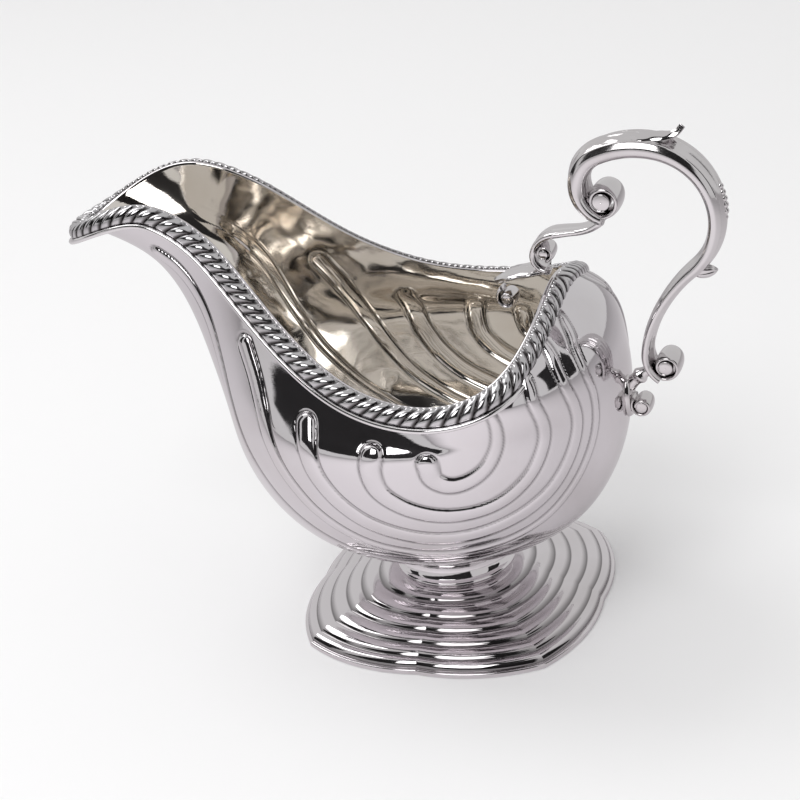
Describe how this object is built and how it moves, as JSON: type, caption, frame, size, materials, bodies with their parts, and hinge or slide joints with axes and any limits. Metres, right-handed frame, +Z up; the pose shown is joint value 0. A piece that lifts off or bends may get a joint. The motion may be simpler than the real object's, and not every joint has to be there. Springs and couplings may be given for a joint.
{
  "type": "footed sauce boat",
  "caption": "Silver helmet-shaped sauce boat with swirling chased flutes, gadrooned rim, cast flying scroll handle and stepped shaped foot.",
  "frame": {"origin": "centre of the foot, on the surface that the boat stands on", "axes": "+Z up, +X from the spout towards the handle, -Y the left hand of someone who holds the handle"},
  "size_m": [0.1905, 0.1002, 0.146],
  "materials": {
    "silver_bowl": "polished silver, raised and chased",
    "silver_foot": "polished silver, stepped",
    "silver_border": "cast silver, polished, darker in the recesses",
    "silver_handle": "cast silver, polished"
  },
  "bodies": {
    "root": {"bowl": "silver_bowl", "foot_collet": "silver_foot", "foot_dome": "silver_foot", "foot_edge_strip": "silver_foot", "handle_back_plate": "silver_handle", "handle_bead_row": "silver_handle", "handle_bud": "silver_handle", "handle_flying_scroll": "silver_handle", "handle_inner_volute": "silver_handle", "handle_leaf_cap": "silver_handle", "handle_lower_volute": "silver_handle", "handle_main_scroll": "silver_handle", "handle_rim_leaf": "silver_handle", "handle_small_curl": "silver_handle", "handle_strut": "silver_handle", "handle_strut_scroll": "silver_handle", "handle_upper_volute": "silver_handle", "rim_gadroon_left": "silver_border", "rim_gadroon_right": "silver_border", "rim_wire_left": "silver_border", "rim_wire_right": "silver_border"}
  },
  "joints": []
}
